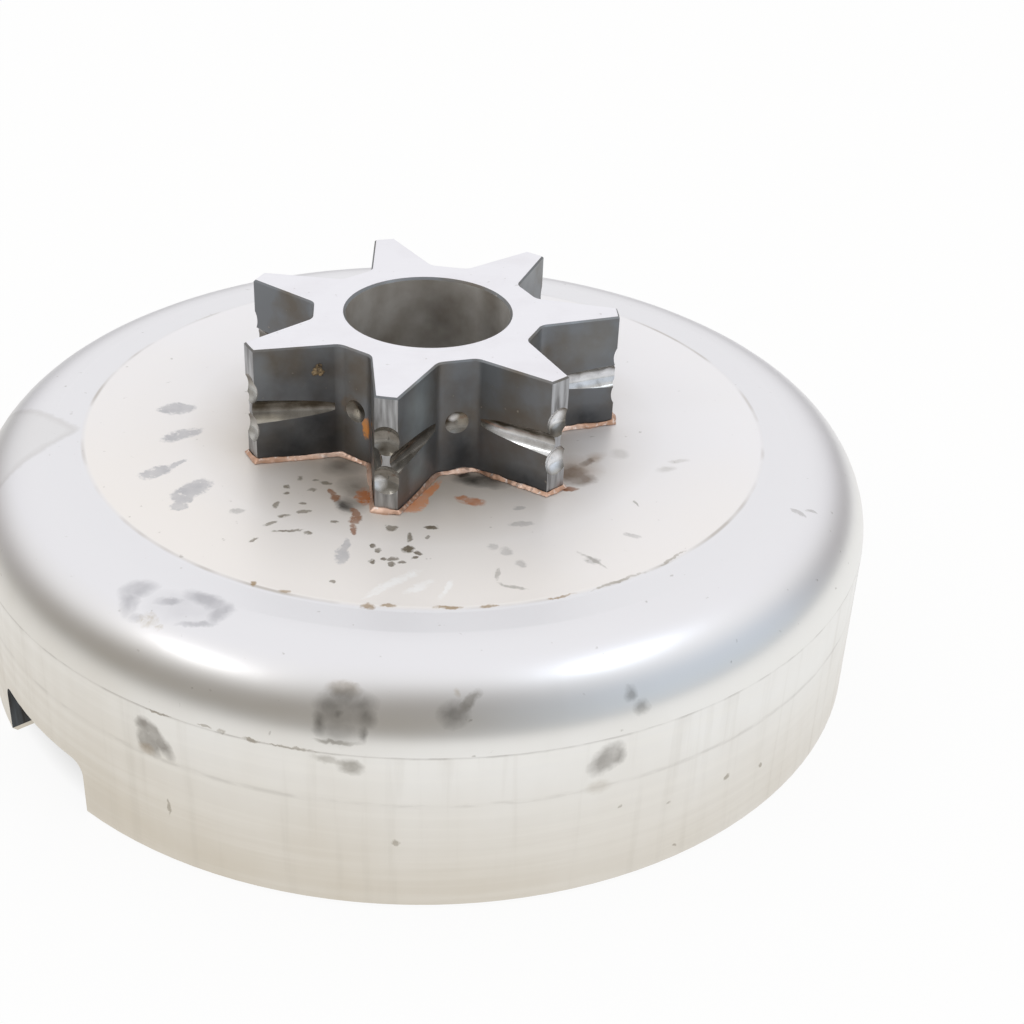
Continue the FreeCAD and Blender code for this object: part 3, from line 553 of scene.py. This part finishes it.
sprocket = {
    "teeth": 7,
    "firstGullet": 27.54,      # degrees from +X
    "rootRadius": 9.8,         # mm, as are the lengths below
    "halfRoot": 1.6,
    "flankAngle": 41.2,        # degrees
    "tipRadius": 16.33,
    "top": 30.9,
    "edgeBreak": 0.15,
    "boreRadius": 7.0,
    "trackHeight": 25.3,       # middle of the chain's track
    "ground": "#efeef3",
    "groundCloud": "#e9e7ec",
    "nick": "#a09a94",
    "oxide": "#777a7d",
    "oxideBrown": "#6d675f",
    # painted shade: the tone the teeth take towards their foot
    "oxideFootShade": "#4a4846",
    "footShadeTop": (25.0, 21.0),    # mm up, where the painted shade starts to darken the teeth and where it is full
    "grit": "#aaa398",
    "burnished": "#918d86",
    "burnishedFilm": "#4a4337",
    "tip": "#b8b9ba",
    "tipScuff": "#7b7a79",
    "bore": "#c8c5c0",
    "boreFilm": "#a39c93",
    # painted light and shade on the teeth, an oil spot and rust: tone, share, strength when full,
    # then x, y, z, across and height in mm
    "toothLightShadeAndStains": [
        # painted light: bluish lighter patches on the front tooth, the right tooth and the left tooth's tip
        ("#a3acb0", 0.85, 0.8, [(-0.7, -12.9, 28.0, 6.4, 10.0), (-0.7, -12.9, 23.4, 4.6, 7.0)]),
        ("#8f9496", 0.5, 0.9, [(13.9, -1.2, 28.6, 8.0, 6.0), (-13.5, -8.3, 29.0, 3.0, 4.0)]),
        # painted shade: darker over the left tooth's front flank, at the foot of the teeth and high on two
        # flanks
        ("#2a2827", 0.45, 0.7, [(-10.8, -7.6, 25.0, 13.0, 18.0)]),
        ("#24262a", 0.75, 0.8, [
            (-8.4, -7.2, 23.0, 6.0, 9.0), (-11.5, -7.8, 21.6, 8.0, 5.0), (2.9, -9.6, 22.8, 4.4, 8.0),
            (8.5, -12.0, 21.2, 8.0, 3.4), (14.0, -1.0, 21.4, 7.0, 3.4),
        ]),
        ("#24262a", 0.35, 0.9, [
            (2.9, -9.4, 28.6, 5.5, 8.0), (-8.5, -7.2, 28.2, 5.0, 8.0), (-9.0, -7.3, 21.4, 6.0, 3.0),
        ]),
        # an oil spot, then rust
        ("#6a5f52", 0.8, 0.4, [(-6.2, -7.5, 25.7, 2.4, 2.4)]),
        ("#e89a48", 0.95, 0.4, [(-4.95, -8.55, 24.1, 1.1, 2.6)]),
    ],
    "boreFilms": [("#5d5650", 0.6, 1.0, [(1.2, 6.9, 26.5, 9.0, 12.0), (5.5, 4.0, 27.0, 5.0, 9.0)])],
    # painted highlights on the spots the links wore: bright lower lips of the grooves, glints in dents and
    # dimples, lit tip dents; in the same terms
    "wornSpotHighlights": [
        ("#fbfcfd", 0.95, 0.6, [
            (5.9, -10.2, 24.9, 3.0, 1.6), (7.0, -10.9, 24.8, 4.0, 2.0), (8.3, -11.6, 24.75, 4.0, 2.1),
            (9.5, -12.3, 24.7, 3.6, 2.1), (12.4, -1.5, 25.1, 4.0, 2.0), (14.0, -0.8, 25.1, 4.4, 2.1),
            (15.6, -0.1, 25.1, 4.0, 2.1), (-3.7, -15.5, 23.0, 1.6, 1.6), (2.2, -9.4, 25.8, 1.3, 1.0),
            (10.2, -12.0, 23.4, 2.8, 3.0), (10.2, -12.1, 27.4, 2.4, 2.4),
        ]),
        ("#c8c1b2", 0.7, 0.7, [
            (2.9, -9.2, 25.6, 1.4, 1.6), (-5.7, -7.75, 25.0, 1.2, 1.1), (-13.0, -7.8, 24.5, 3.6, 0.9),
        ]),
        ("#d9d8d4", 0.8, 0.7, [(-14.3, -7.0, 26.4, 2.2, 2.6), (-14.4, -7.0, 22.8, 2.2, 2.8)]),
    ],
}


def makeGroundSteel():
    # Hardened steel, ground flat: nearly white, very fine grain, a few small nicks
    material, tree, shader, place = newMaterial("hardenedSteelGround", 1.0, 0.34)
    clouds = addNode(tree, "ShaderNodeTexNoise", {"Vector": place, "Scale": 1 / 4, "Detail": 4.0})
    cloudy = addNode(tree, "ShaderNodeMapRange", {"Value": clouds, "From Min": 0.45, "From Max": 0.8})
    grains = addNode(tree, "ShaderNodeTexNoise", {"Vector": place, "Scale": 1 / 0.6, "Detail": 1.0})
    nick = addNode(tree, "ShaderNodeMapRange",
                   {"Value": grains, "From Min": 0.75, "From Max": 0.8, "To Max": 0.3})
    colour = linear(sprocket["ground"])
    for share, tone in ((cloudy, "groundCloud"), (nick, "nick")):
        tones = {0: share, 6: colour, 7: linear(sprocket[tone])}
        colour = addNode(tree, "ShaderNodeMix", tones, data_type="RGBA").outputs[2]
    # grinding lines 0.05 mm apart, drawn at 0.2 mm
    lines = addNode(tree, "ShaderNodeVectorMath", {0: place, 1: (0.06, 1.0, 1.0)}, operation="MULTIPLY")
    lay = addNode(tree, "ShaderNodeTexNoise", {"Vector": lines, "Scale": 1 / 0.2, "Detail": 3.0})
    rough = addNode(tree, "ShaderNodeMapRange",
                    {"Value": lay, "From Min": 0.3, "From Max": 0.7, "To Min": 0.3, "To Max": 0.4})
    bump = addNode(tree, "ShaderNodeBump", {"Height": lay, "Strength": 0.1, "Distance": 0.02 * mm})
    fillSockets(tree, shader, {"Base Color": colour, "Roughness": rough, "Normal": bump})
    return material


def makeOxideSteel():
    # Heat treated steel with its dark scale and chain oil: slate with brown patches, half dull, with painted
    # light and shade on the flanks and towards the foot
    material, tree, shader, place = newMaterial("heatTreatedSteelOiled", 0.65, 0.36)
    clouds = addNode(tree, "ShaderNodeTexNoise", {"Vector": place, "Scale": 1 / 4, "Detail": 5.0})
    brown = addNode(tree, "ShaderNodeMapRange", {"Value": clouds, "From Min": 0.42, "From Max": 0.66})
    # painted shade: the teeth turn darker towards the foot
    height = addNode(tree, "ShaderNodeSeparateXYZ", {0: place}).outputs["Z"]
    none, full = sprocket["footShadeTop"]
    footShade = addNode(tree, "ShaderNodeMapRange",
                   {"Value": height, "From Min": none, "From Max": full, "To Max": 0.35})
    grains = addNode(tree, "ShaderNodeTexNoise", {"Vector": place, "Scale": 1 / 0.5, "Detail": 1.0})
    grit = addNode(tree, "ShaderNodeMapRange",
                   {"Value": grains, "From Min": 0.76, "From Max": 0.8, "To Max": 0.6})
    colour = linear(sprocket["oxide"])
    for share, tone in ((brown, "oxideBrown"), (footShade, "oxideFootShade"), (grit, "grit")):
        tones = {0: share, 6: colour, 7: linear(sprocket[tone])}
        colour = addNode(tree, "ShaderNodeMix", tones, data_type="RGBA").outputs[2]
    colour = layFilmsAndPaintedLight(tree, wander(tree, place, 0.8, 0.25), "tooth", sprocket["toothLightShadeAndStains"], colour)
    rough = addNode(tree, "ShaderNodeMapRange",
                    {"Value": clouds, "From Min": 0.3, "From Max": 0.7, "To Min": 0.3, "To Max": 0.44})
    scale = addNode(tree, "ShaderNodeTexNoise", {"Vector": place, "Scale": 1 / 0.35, "Detail": 4.0})
    bump = addNode(tree, "ShaderNodeBump", {"Height": scale, "Strength": 0.15, "Distance": 0.04 * mm})
    fillSockets(tree, shader, {"Base Color": colour, "Roughness": rough, "Normal": bump})
    return material


def makeBurnishedSteel():
    # Hardened steel burnished by chain links: bright, with drag lines, a brown film and painted highlights on
    # the worn spots
    material, tree, shader, place = newMaterial("hardenedSteelBurnished", 0.75, 0.17)
    clouds = addNode(tree, "ShaderNodeTexNoise", {"Vector": place, "Scale": 1 / 1.2, "Detail": 4.0})
    patchy = addNode(tree, "ShaderNodeMapRange",
                     {"Value": clouds, "From Min": 0.42, "From Max": 0.75, "To Max": 0.7})
    # the links bear on the lower half of their grooves, and oil stays in the upper half
    height = addNode(tree, "ShaderNodeSeparateXYZ", {0: place}).outputs["Z"]
    fromTrack = addNode(tree, "ShaderNodeMath", {0: height, 1: sprocket["trackHeight"]}, operation="SUBTRACT")
    above = addNode(tree, "ShaderNodeMapRange",
                    {"Value": fromTrack, "From Min": -0.3, "From Max": 0.2, "To Max": 0.6})
    past = addNode(tree, "ShaderNodeMapRange", {"Value": fromTrack, "From Min": 1.2, "From Max": 0.8})
    oiled = addNode(tree, "ShaderNodeMath", {0: above, 1: past}, operation="MULTIPLY")
    filmed = addNode(tree, "ShaderNodeMath", {0: patchy, 1: oiled}, operation="ADD", use_clamp=True)
    tones = {0: filmed, 6: linear(sprocket["burnished"]), 7: linear(sprocket["burnishedFilm"])}
    colour = addNode(tree, "ShaderNodeMix", tones, data_type="RGBA").outputs[2]
    colour = layFilmsAndPaintedLight(tree, wander(tree, place, 0.8, 0.2), "tooth", sprocket["wornSpotHighlights"], colour)
    # drag lines about 0.1 mm apart run level, the way the links slide; drawn at 0.25 mm
    level = addNode(tree, "ShaderNodeVectorMath", {0: place, 1: (0.15, 0.15, 1.0)}, operation="MULTIPLY")
    drag = addNode(tree, "ShaderNodeTexNoise", {"Vector": level, "Scale": 1 / 0.25, "Detail": 3.0})
    bump = addNode(tree, "ShaderNodeBump", {"Height": drag, "Strength": 0.25, "Distance": 0.04 * mm})
    fillSockets(tree, shader, {"Base Color": colour, "Normal": bump})
    return material


def makeTipSteel():
    # Tooth tips, turned before hardening and rubbed by the chain's straps: mid grey, upright scuffs
    material, tree, shader, place = newMaterial("hardenedSteelScuffed", 1.0, 0.36)
    upright = addNode(tree, "ShaderNodeVectorMath", {0: place, 1: (1.0, 1.0, 0.12)}, operation="MULTIPLY")
    scuffs = addNode(tree, "ShaderNodeTexNoise", {"Vector": upright, "Scale": 1 / 0.45, "Detail": 4.0})
    scuffed = addNode(tree, "ShaderNodeMapRange", {"Value": scuffs, "From Min": 0.38, "From Max": 0.66})
    tones = {0: scuffed, 6: linear(sprocket["tip"]), 7: linear(sprocket["tipScuff"])}
    colour = addNode(tree, "ShaderNodeMix", tones, data_type="RGBA").outputs[2]
    bump = addNode(tree, "ShaderNodeBump", {"Height": scuffs, "Strength": 0.25, "Distance": 0.04 * mm})
    fillSockets(tree, shader, {"Base Color": colour, "Normal": bump})
    return material


def makeBoreSteel():
    # Bore run by needle rollers: grey, half bright, oily brown film
    material, tree, shader, place = newMaterial("boredSteelOiled", 0.45, 0.42)
    clouds = addNode(tree, "ShaderNodeTexNoise", {"Vector": place, "Scale": 1 / 3, "Detail": 5.0})
    filmed = addNode(tree, "ShaderNodeMapRange", {"Value": clouds, "From Min": 0.35, "From Max": 0.7})
    tones = {0: filmed, 6: linear(sprocket["bore"]), 7: linear(sprocket["boreFilm"])}
    colour = addNode(tree, "ShaderNodeMix", tones, data_type="RGBA").outputs[2]
    colour = layFilmsAndPaintedLight(tree, wander(tree, place, 0.8, 0.25), "tooth", sprocket["boreFilms"], colour)
    # rings left by the boring tool, drawn at 0.4 mm
    around = addNode(tree, "ShaderNodeVectorMath", {0: place, 1: (0.1, 0.1, 1.0)}, operation="MULTIPLY")
    rings = addNode(tree, "ShaderNodeTexNoise", {"Vector": around, "Scale": 1 / 0.4, "Detail": 3.0})
    bump = addNode(tree, "ShaderNodeBump", {"Height": rings, "Strength": 0.2, "Distance": 0.04 * mm})
    fillSockets(tree, shader, {"Base Color": colour, "Normal": bump})
    return material


def wornByChain(centre, normal):
    # true where the surface lies off the outline that the gullets were milled to
    pitch = 360 / sprocket["teeth"]
    radius = math.hypot(centre.x, centre.y)
    angle = math.degrees(math.atan2(centre.y, centre.x)) - sprocket["firstGullet"]
    local = math.radians((angle + pitch / 2) % pitch - pitch / 2)
    along = radius * math.cos(local) - sprocket["rootRadius"]
    across = abs(radius * math.sin(local)) - sprocket["halfRoot"]
    flank = math.radians(sprocket["flankAngle"])
    intoTooth = across * math.cos(flank) - along * math.sin(flank)
    inFlank = intoTooth > 0.02 and radius < sprocket["tipRadius"] - 0.02
    inFloor = along < -0.01
    tipped = abs(normal.z) > 0.05
    return inFlank or inFloor or tipped


def finishSprocket():
    mesh = nodes["drive_sprocket"].data
    mesh.materials.clear()
    finishes = (makeGroundSteel(), makeOxideSteel(), makeBurnishedSteel(), makeBoreSteel(), makeTipSteel())
    for material in finishes:
        mesh.materials.append(material)
    ground, oxide, burnished, bore, tip = range(5)
    slack = 0.01               # mm
    edgeFoot = sprocket["top"] - sprocket["edgeBreak"] - slack
    for polygon in mesh.polygons:
        centre = polygon.center / mm
        radius = math.hypot(centre.x, centre.y)
        outward = Vector((centre.x, centre.y, 0)).normalized().dot(polygon.normal)
        if radius < sprocket["boreRadius"] + slack and outward < -0.5:
            polygon.material_index = bore
        elif polygon.normal.z > 0.9 and centre.z > sprocket["top"] - slack:
            polygon.material_index = ground
        elif centre.z > edgeFoot:
            polygon.material_index = oxide
        elif centre.z > drum["faceHeight"] + 0.1 and wornByChain(centre, polygon.normal):
            polygon.material_index = burnished
        elif radius > sprocket["tipRadius"] - 0.05 and outward > 0.99:
            polygon.material_index = tip
        else:
            polygon.material_index = oxide
    print("sprocket: ground top, dark flanks, burnished wear, scuffed tips")


# Braze: copper that ran round the foot of the teeth

braze = {
    "voxel": 0.07,             # mm
    "smoothing": 20,           # rounds
    "lump": 1.7,               # mm between lumps
    "lumpHeight": 0.22,        # mm
    "lumpShare": -0.15,        # lumps stand out less than they sink in
    "grain": 0.4,              # mm
    "grainHeight": 0.05,       # mm
    "copper": "#f0cfbb",
    "tarnish": "#c0987f",
    # painted glints: near white specks in the braze's grain
    "paintedGlint": "#fffaf6",
}


def makeCopperBraze():
    # Copper braze as it froze: pink, grainy, tarnished in patches, with painted glints in its grain
    material, tree, shader, place = newMaterial("copperBrazeCast", 0.6, 0.36)
    clouds = addNode(tree, "ShaderNodeTexNoise", {"Vector": place, "Scale": 1 / 2.5, "Detail": 4.0})
    tarnished = addNode(tree, "ShaderNodeMapRange", {"Value": clouds, "From Min": 0.38, "From Max": 0.58})
    grains = addNode(tree, "ShaderNodeTexNoise",
                     {"Vector": place, "Scale": 1 / braze["grain"], "Detail": 2.0})
    # painted glints: the grain's peaks turn near white
    paintedGlint = addNode(tree, "ShaderNodeMapRange",
                    {"Value": grains, "From Min": 0.56, "From Max": 0.74, "To Max": 0.7})
    colour = linear(braze["copper"])
    for share, tone in ((tarnished, "tarnish"), (paintedGlint, "paintedGlint")):
        tones = {0: share, 6: colour, 7: linear(braze[tone])}
        colour = addNode(tree, "ShaderNodeMix", tones, data_type="RGBA").outputs[2]
    rough = addNode(tree, "ShaderNodeMapRange", {"Value": clouds, "To Min": 0.25, "To Max": 0.5})
    bump = addNode(tree, "ShaderNodeBump", {"Height": grains, "Strength": 0.2, "Distance": 0.05 * mm})
    fillSockets(tree, shader, {"Base Color": colour, "Roughness": rough, "Normal": bump})
    return material


def makeBraze():
    # the fillet's solid, remeshed finely and made lumpy
    bead = bpy.data.objects.new("brazeBead", nodes["braze_fillet"].data.copy())
    scene.collection.objects.link(bead)
    remesh = bead.modifiers.new("fineMesh", "REMESH")
    remesh.mode = "VOXEL"
    remesh.voxel_size = braze["voxel"] * mm
    smooth = bead.modifiers.new("roundBead", "SMOOTH")
    smooth.iterations = braze["smoothing"]
    evaluated = bead.evaluated_get(bpy.context.evaluated_depsgraph_get())
    bead.data = bpy.data.meshes.new_from_object(evaluated)
    bead.modifiers.clear()
    normals = [vertex.normal.copy() for vertex in bead.data.vertices]
    for vertex, normal in zip(bead.data.vertices, normals):
        place = vertex.co / mm
        swell = braze["lumpHeight"] * (noise.noise(place / braze["lump"]) + braze["lumpShare"])
        swell += braze["grainHeight"] * noise.noise(place / braze["grain"])
        vertex.co += normal * swell * mm
    bead.data.materials.clear()
    bead.data.materials.append(makeCopperBraze())
    bead.data.shade_smooth()
    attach(bead, "root")
    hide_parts("braze_fillet")
    print("braze:", len(bead.data.polygons), "faces")


# Dirt: a crumb of dried sawdust and oil on one flank

crumb = {
    "place": (-8.90, -7.27, 28.75),   # mm
    "outward": (0.21, -0.98, 0.0),
    "seed": 4,
    "grains": 24,
    "spread": (0.36, 0.5),     # mm, across and up
    "scatter": 0.55,           # share of the spread that most grains keep to
    "grainSize": 0.2,          # mm
    "grainRange": (0.6, 1.2),
    "grainRings": 6,
    "grainSides": 10,
    "dust": "#8d7859",
    "oil": "#3d3227",
}


def makeDriedDirt():
    # Sawdust caked with oil: brown, dull, crumbly
    material, tree, shader, place = newMaterial("oiledSawdustDried", 0.0, 0.8)
    clouds = addNode(tree, "ShaderNodeTexNoise", {"Vector": place, "Scale": 1 / 0.4, "Detail": 4.0})
    dusty = addNode(tree, "ShaderNodeMapRange", {"Value": clouds, "From Min": 0.4, "From Max": 0.6})
    tones = {0: dusty, 6: linear(crumb["oil"]), 7: linear(crumb["dust"])}
    colour = addNode(tree, "ShaderNodeMix", tones, data_type="RGBA").outputs[2]
    bump = addNode(tree, "ShaderNodeBump", {"Height": clouds, "Strength": 0.8, "Distance": 0.1 * mm})
    fillSockets(tree, shader, {"Base Color": colour, "Normal": bump})
    return material


def makeCrumb():
    chance = random.Random(crumb["seed"])
    centre = Vector(crumb["place"])
    outward = Vector(crumb["outward"]).normalized()
    sideways = outward.cross(Vector((0, 0, 1))).normalized()
    rings, sides = crumb["grainRings"], crumb["grainSides"]
    vertices = []
    faces = []
    for _ in range(crumb["grains"]):
        place = centre + sideways * chance.gauss(0, crumb["scatter"]) * crumb["spread"][0]
        place += Vector((0, 0, chance.gauss(0, crumb["scatter"]) * crumb["spread"][1]))
        size = crumb["grainSize"] * chance.uniform(*crumb["grainRange"])
        first = len(vertices)
        for ring in range(rings + 1):
            tall = math.pi * ring / rings
            for side in range(sides):
                turn = 2 * math.pi * side / sides
                level = math.sin(tall)
                ray = Vector((level * math.cos(turn), level * math.sin(turn), math.cos(tall)))
                lump = 1 + 0.5 * noise.noise(ray * 1.7 + place * 3)   # no two grains are alike
                vertices.append((place + ray * size * lump) * mm)
        for ring in range(rings):
            low, high = first + ring * sides, first + (ring + 1) * sides
            for side in range(sides):
                beside = (side + 1) % sides
                faces.append((low + side, high + side, high + beside, low + beside))
    mesh = bpy.data.meshes.new("dirtCrumb")
    mesh.from_pydata(vertices, [], faces)
    mesh.materials.append(makeDriedDirt())
    mesh.validate()
    mesh.shade_smooth()
    piece = bpy.data.objects.new("dirtCrumb", mesh)
    scene.collection.objects.link(piece)
    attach(piece, "root")
    print("crumb:", len(mesh.polygons), "faces")


# Studio: pale floor, soft light, the camera

studio = {
    "white": "#ffffff",
    "floorSize": 6.0,          # m
    "floorDrop": 0.00002,      # m under the rim, so that the two do not share a plane
    "floor": "#f4f3f0",
    "floorGlow": 0.92,         # share of the floor that reads as plain white
    "glowFrom": (31.0, 38.0),  # mm from the axis; under the drum the floor is dark
    "paperCentre": (60.0, -10.0, 0.0),   # mm
    "paperEnds": (110.0, 280.0),   # mm from its centre; metal shows a dimmer table past it
    "tableShare": 0.42,
    "fill": 0.96,              # light that the white room gives
    "skyward": (-0.05, 0.3, 0.953),   # the room is white above, dimmer low down
    "skyEdges": (0.2, 0.6),
    "frontward": (0.087, -0.984, 0.156),   # and dimmer in front
    "frontEdges": (0.89, 0.45),
    "dimLeft": "#a4a09b",
    "dimRight": "#d3dce8",
    "rightEdges": (0.05, 0.85),
    "dimBack": "#b3b0b1",
    "backEdges": (0.0, 0.45),
    "lampDistance": 0.6,       # m
    # degrees round from the front, right positive, and up; width and height in m; power in W; colour
    "lamps": [
        ("softBoxLeft", -64.0, 45.0, (0.19, 0.1), 0.125, "#ffffff"),
        ("softBoxRight", 66.0, 56.0, (0.22, 0.1), 0.16, "#e2efff"),
    ],
}
camera = {
    "place": (0.0, -129.9, 90.26),   # mm
    "aim": (7.79, -2.03, 12.25),     # mm
    "roll": 2.64,              # degrees
    "lens": 58.62,             # mm
    "sensor": 36.0,            # mm
    "clip": (0.01, 20.0),      # m
}


def makeFloor():
    # Matt white paper: even, no gloss
    material = bpy.data.materials.new("whitePaperMatt")
    material.use_nodes = True
    tree = material.node_tree
    tree.nodes.clear()
    paper = addNode(tree, "ShaderNodeBsdfDiffuse", {"Color": linear(studio["floor"])})
    rays = addNode(tree, "ShaderNodeLightPath").outputs
    seen = addNode(tree, "ShaderNodeMath", {0: rays["Is Camera Ray"], 1: rays["Is Glossy Ray"]},
                   operation="MAXIMUM")
    seen = addNode(tree, "ShaderNodeMath", {0: seen, 1: rays["Is Transmission Ray"]}, operation="MAXIMUM")

    # under the drum the floor keeps its shadow
    place = placeInMm(tree)
    dark, pale = studio["glowFrom"]
    clear = addNode(tree, "ShaderNodeMapRange",
                    {"Value": distanceFromAxis(tree, place), "From Min": dark, "From Max": pale,
                     "To Max": studio["floorGlow"]})
    share = addNode(tree, "ShaderNodeMath", {0: seen, 1: clear}, operation="MULTIPLY")

    # metal shows the paper's end, the camera doesn't
    fromPaper = addNode(tree, "ShaderNodeVectorMath", {0: place, 1: studio["paperCentre"]},
                        operation="DISTANCE")
    starts, ends = studio["paperEnds"]
    table = addNode(tree, "ShaderNodeMapRange",
                    {"Value": fromPaper.outputs["Value"], "From Min": starts, "From Max": ends,
                     "To Min": 1.0, "To Max": studio["tableShare"]})
    bright = addNode(tree, "ShaderNodeMath", {0: table, 1: rays["Is Camera Ray"]}, operation="MAXIMUM")
    glow = addNode(tree, "ShaderNodeEmission", {"Color": linear(studio["white"]), "Strength": bright})
    mixed = addNode(tree, "ShaderNodeMixShader", {0: share, 1: paper, 2: glow})
    addNode(tree, "ShaderNodeOutputMaterial", {"Surface": mixed})

    half = studio["floorSize"] / 2
    low = -studio["floorDrop"]
    mesh = bpy.data.meshes.new("floor")
    corners = [(-half, -half, low), (half, -half, low), (half, half, low), (-half, half, low)]
    mesh.from_pydata(corners, [], [(0, 1, 2, 3)])
    mesh.materials.append(material)
    floor = bpy.data.objects.new("floor", mesh)
    scene.collection.objects.link(floor)


def makeRoom():
    # a white room that metal mirrors with dimmer sides
    world = bpy.data.worlds.new("whiteRoom")
    scene.world = world
    world.use_nodes = True
    tree = world.node_tree
    tree.nodes.clear()
    white = linear(studio["white"])
    direction = addNode(tree, "ShaderNodeTexCoord").outputs["Generated"]
    up = addNode(tree, "ShaderNodeVectorMath", {0: direction, 1: studio["skyward"]}, operation="DOT_PRODUCT")
    ahead = addNode(tree, "ShaderNodeVectorMath", {0: direction, 1: studio["frontward"]},
                    operation="DOT_PRODUCT")
    axes = addNode(tree, "ShaderNodeSeparateXYZ", {0: direction}).outputs
    sky, clear, right, behind = [
        addNode(tree, "ShaderNodeMapRange", {"Value": way, "From Min": edges[0], "From Max": edges[1]},
                interpolation_type="SMOOTHSTEP")
        for way, edges in (
            (up.outputs["Value"], studio["skyEdges"]), (ahead.outputs["Value"], studio["frontEdges"]),
            (axes["X"], studio["rightEdges"]), (axes["Y"], studio["backEdges"]),
        )
    ]
    sky = addNode(tree, "ShaderNodeMath", {0: sky, 1: clear}, operation="MINIMUM")
    room = linear(studio["dimLeft"])
    for share, tone in ((right, "dimRight"), (behind, "dimBack"), (sky, "white")):
        tones = {0: share, 6: room, 7: linear(studio[tone])}
        room = addNode(tree, "ShaderNodeMix", tones, data_type="RGBA").outputs[2]
    fill = addNode(tree, "ShaderNodeBackground", {"Color": white, "Strength": studio["fill"]})
    mirrored = addNode(tree, "ShaderNodeBackground", {"Color": room, "Strength": 1.0})
    backdrop = addNode(tree, "ShaderNodeBackground", {"Color": white, "Strength": 1.0})
    rays = addNode(tree, "ShaderNodeLightPath").outputs
    glossy = addNode(tree, "ShaderNodeMath", {0: rays["Is Glossy Ray"], 1: rays["Is Transmission Ray"]},
                     operation="MAXIMUM")
    lit = addNode(tree, "ShaderNodeMixShader", {0: glossy, 1: fill, 2: mirrored})
    shown = addNode(tree, "ShaderNodeMixShader", {0: rays["Is Camera Ray"], 1: lit, 2: backdrop})
    addNode(tree, "ShaderNodeOutputWorld", {"Surface": shown})


def makeLamps():
    for name, turn, rise, size, power, tint in studio["lamps"]:
        box = bpy.data.lights.new(name, "AREA")
        box.shape = "ELLIPSE"
        box.size, box.size_y = size
        box.energy = power
        box.color = linear(tint)[:3]
        turn, rise = math.radians(turn), math.radians(rise)
        level = math.cos(rise)
        away = Vector((math.sin(turn) * level, -math.cos(turn) * level, math.sin(rise)))
        lamp = bpy.data.objects.new(name, box)
        lamp.location = away * studio["lampDistance"]
        lamp.rotation_euler = (-away).to_track_quat("-Z", "Y").to_euler()
        scene.collection.objects.link(lamp)


def makeCamera():
    data = bpy.data.cameras.new("camera")
    data.sensor_width = camera["sensor"]
    data.lens = camera["lens"]
    data.clip_start, data.clip_end = camera["clip"]
    place = Vector(camera["place"]) * mm
    aim = Vector(camera["aim"]) * mm
    roll = Matrix.Rotation(math.radians(camera["roll"]), 3, "Z")
    turn = (aim - place).to_track_quat("-Z", "Y").to_matrix() @ roll
    view = bpy.data.objects.new("camera", data)
    view.matrix_world = Matrix.Translation(place) @ turn.to_4x4()
    scene.collection.objects.link(view)
    scene.camera = view


finishDrum()
finishSprocket()
makeBraze()
makeCrumb()
makeFloor()
makeRoom()
makeLamps()
makeCamera()
scene.view_settings.view_transform = "Standard"
print("studio: floor, soft boxes, camera")
